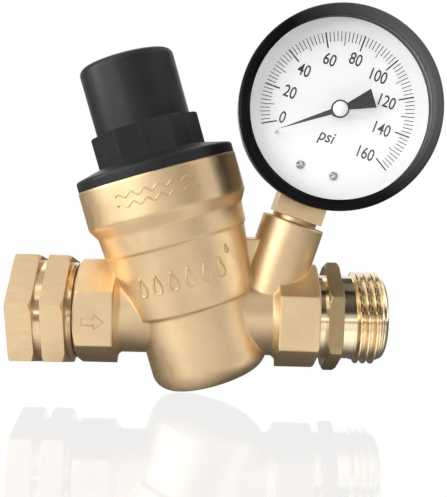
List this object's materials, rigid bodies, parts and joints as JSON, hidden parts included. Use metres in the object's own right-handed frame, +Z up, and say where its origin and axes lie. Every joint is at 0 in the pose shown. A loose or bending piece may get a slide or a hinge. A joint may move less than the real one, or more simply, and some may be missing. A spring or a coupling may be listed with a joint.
{
  "type": "water pressure regulator",
  "caption": "Brass in-line water pressure regulator with a swivel hose nut, threaded outlet, black adjustable bonnet and a round dial gauge on a slanting boss.",
  "frame": {"origin": "centre of the inlet mouth, on the axis of the swivel nut and the pipe line", "axes": "+X is the way the water flows from the swivel nut to the threaded outlet, +Z is up, and the dial faces -Y"},
  "size_m": [0.1168, 0.0468, 0.1087],
  "materials": {
    "cast_brass": "satin, sand blasted",
    "machined_brass": "bright machined",
    "rubber_black": "matt",
    "screen_steel": "satin",
    "spring_steel": "satin",
    "piston_plastic": "moulded",
    "bonnet_plastic": "satin moulded",
    "bezel_black": "satin black paint",
    "case_steel": "silver grey paint",
    "lens_clear": "polished",
    "dial_white": "matt white paint",
    "pointer_black": "satin"
  },
  "bodies": {
    "body": {"valve_body": "cast_brass", "inlet_washer": "rubber_black", "inlet_screen": "screen_steel", "inlet_tailpiece": "machined_brass", "inlet_seal": "rubber_black", "outlet_adapter": "cast_brass", "outlet_seal": "rubber_black", "seat_insert": "machined_brass", "bonnet": "bonnet_plastic", "bonnet_oring": "rubber_black", "range_spring": "spring_steel", "gauge_socket": "machined_brass", "gauge_case": "case_steel", "gauge_bezel": "bezel_black", "lens_gasket": "rubber_black", "gauge_lens": "lens_clear", "gauge_dial": "dial_white", "dial_screws": "spring_steel", "stop_pin": "spring_steel", "bourdon_tube": "machined_brass", "movement_back_plate": "machined_brass", "movement_front_plate": "machined_brass", "movement_pillars": "machined_brass", "movement_screws": "spring_steel", "hairspring": "machined_brass"},
    "swivel_nut": {"swivel_nut": "cast_brass"},
    "valve_spool": {"piston": "piston_plastic", "piston_oring": "rubber_black", "valve_stem": "machined_brass", "valve_disc": "rubber_black", "disc_holder": "machined_brass", "disc_nut": "machined_brass"},
    "spring_plate": {"spring_seat": "spring_steel"},
    "adjuster": {"adjusting_screw": "machined_brass"},
    "sector": {"sector_gear": "machined_brass", "sector_arbor": "spring_steel"},
    "indicator": {"pinion_shaft": "spring_steel", "pointer": "pointer_black", "pointer_hub": "pointer_black"},
    "link": {"link": "machined_brass"},
    "tube_tip": {"tube_tip": "machined_brass"}
  },
  "joints": [
    {"name": "nut_spin", "type": "hinge", "parent": "body", "child": "swivel_nut", "pos_m": [0.016, 0, 0], "axis": [1, 0, 0], "continuous": true},
    {"name": "valve_lift", "type": "slide", "parent": "body", "child": "valve_spool", "axis": [-0.2924, 0, 0.9563], "range_m": [0, 0.0028], "stiffness_N_per_m": 8000, "springref_m": -0.012, "deforming": ["range_spring"]},
    {"name": "seat_feed", "type": "slide", "parent": "body", "child": "spring_plate", "axis": [0.2924, 0, -0.9563], "range_m": [0, 0.00525], "deforming": ["range_spring"]},
    {"name": "screw_turn", "type": "hinge", "parent": "spring_plate", "child": "adjuster", "pos_m": [0.03153, 0, 0.06694], "axis": [0.2924, 0, -0.9563], "range_deg": [0, 1080]},
    {"name": "sector_turn", "type": "hinge", "parent": "body", "child": "sector", "pos_m": [0.08569, 0, 0.04717], "axis": [0, -1, 0], "range_deg": [0, 41.5], "stiffness_Nm_per_rad": 0.002, "springref_deg": -11.46},
    {"name": "pointer_turn", "type": "hinge", "parent": "body", "child": "indicator", "pos_m": [0.08944, 0, 0.0592], "axis": [0, 1, 0], "range_deg": [0, 249]},
    {"name": "link_turn", "type": "hinge", "parent": "sector", "child": "link", "pos_m": [0.08387, 0, 0.05288], "axis": [0, -1, 0], "range_deg": [-41.5, 0]},
    {"name": "tip_travel", "type": "slide", "parent": "body", "child": "tube_tip", "axis": [-0.7832, 0, -0.6218], "range_m": [0, 0.00425], "deforming": ["bourdon_tube"]}
  ],
  "couplings": [
    {"joint": "seat_feed", "follows": "screw_turn", "m_per_rad": 0.00027852},
    {"joint": "pointer_turn", "follows": "sector_turn", "ratio": 6},
    {"joint": "link_turn", "follows": "sector_turn", "ratio": -1},
    {"joint": "tip_travel", "follows": "sector_turn", "m_per_rad": 0.0058697}
  ]
}
